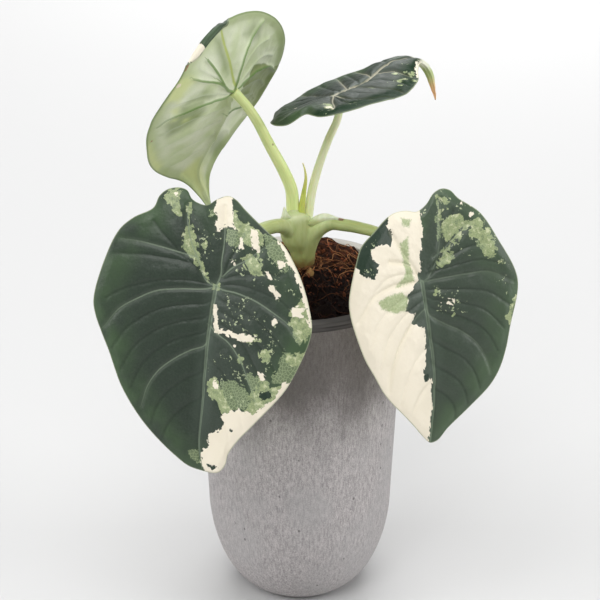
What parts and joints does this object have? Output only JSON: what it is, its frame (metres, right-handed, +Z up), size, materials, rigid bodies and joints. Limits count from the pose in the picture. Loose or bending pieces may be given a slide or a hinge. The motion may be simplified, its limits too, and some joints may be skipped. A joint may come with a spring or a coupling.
{
  "type": "potted variegated maharani alocasia",
  "caption": "Young potted alocasia with stiff, heart-shaped, cream and green variegated leaves on arching stalks, in a tall round-footed grey pot.",
  "frame": {"origin": "middle of the flat foot that the pot stands on", "axes": "+Z up, along the pot's axis; -Y towards the side that the two hanging leaves face; +X to the right seen from there"},
  "size_m": [0.2268, 0.1873, 0.356],
  "materials": {
    "pot": "matt, streaked concrete grey with fine pits",
    "soil": "damp, fibrous coir and bark chips",
    "stem": "smooth, waxy pale green",
    "leaf": "leathery, satin dark green with cream and light green patches",
    "new_leaf": "smooth, yellow-green",
    "cormel": "dry, pale tan skin"
  },
  "bodies": {
    "root": {"pot": "pot", "soil": "soil", "crown": "stem", "stalk_lower_left": "stem", "stalk_lower_right": "stem", "stalk_upper_left": "stem", "stalk_upper_right": "stem", "blade_lower_left": "leaf", "blade_lower_right": "leaf", "blade_upper_left": "leaf", "blade_upper_right": "leaf", "new_leaf": "new_leaf", "cormel": "cormel"}
  },
  "joints": []
}
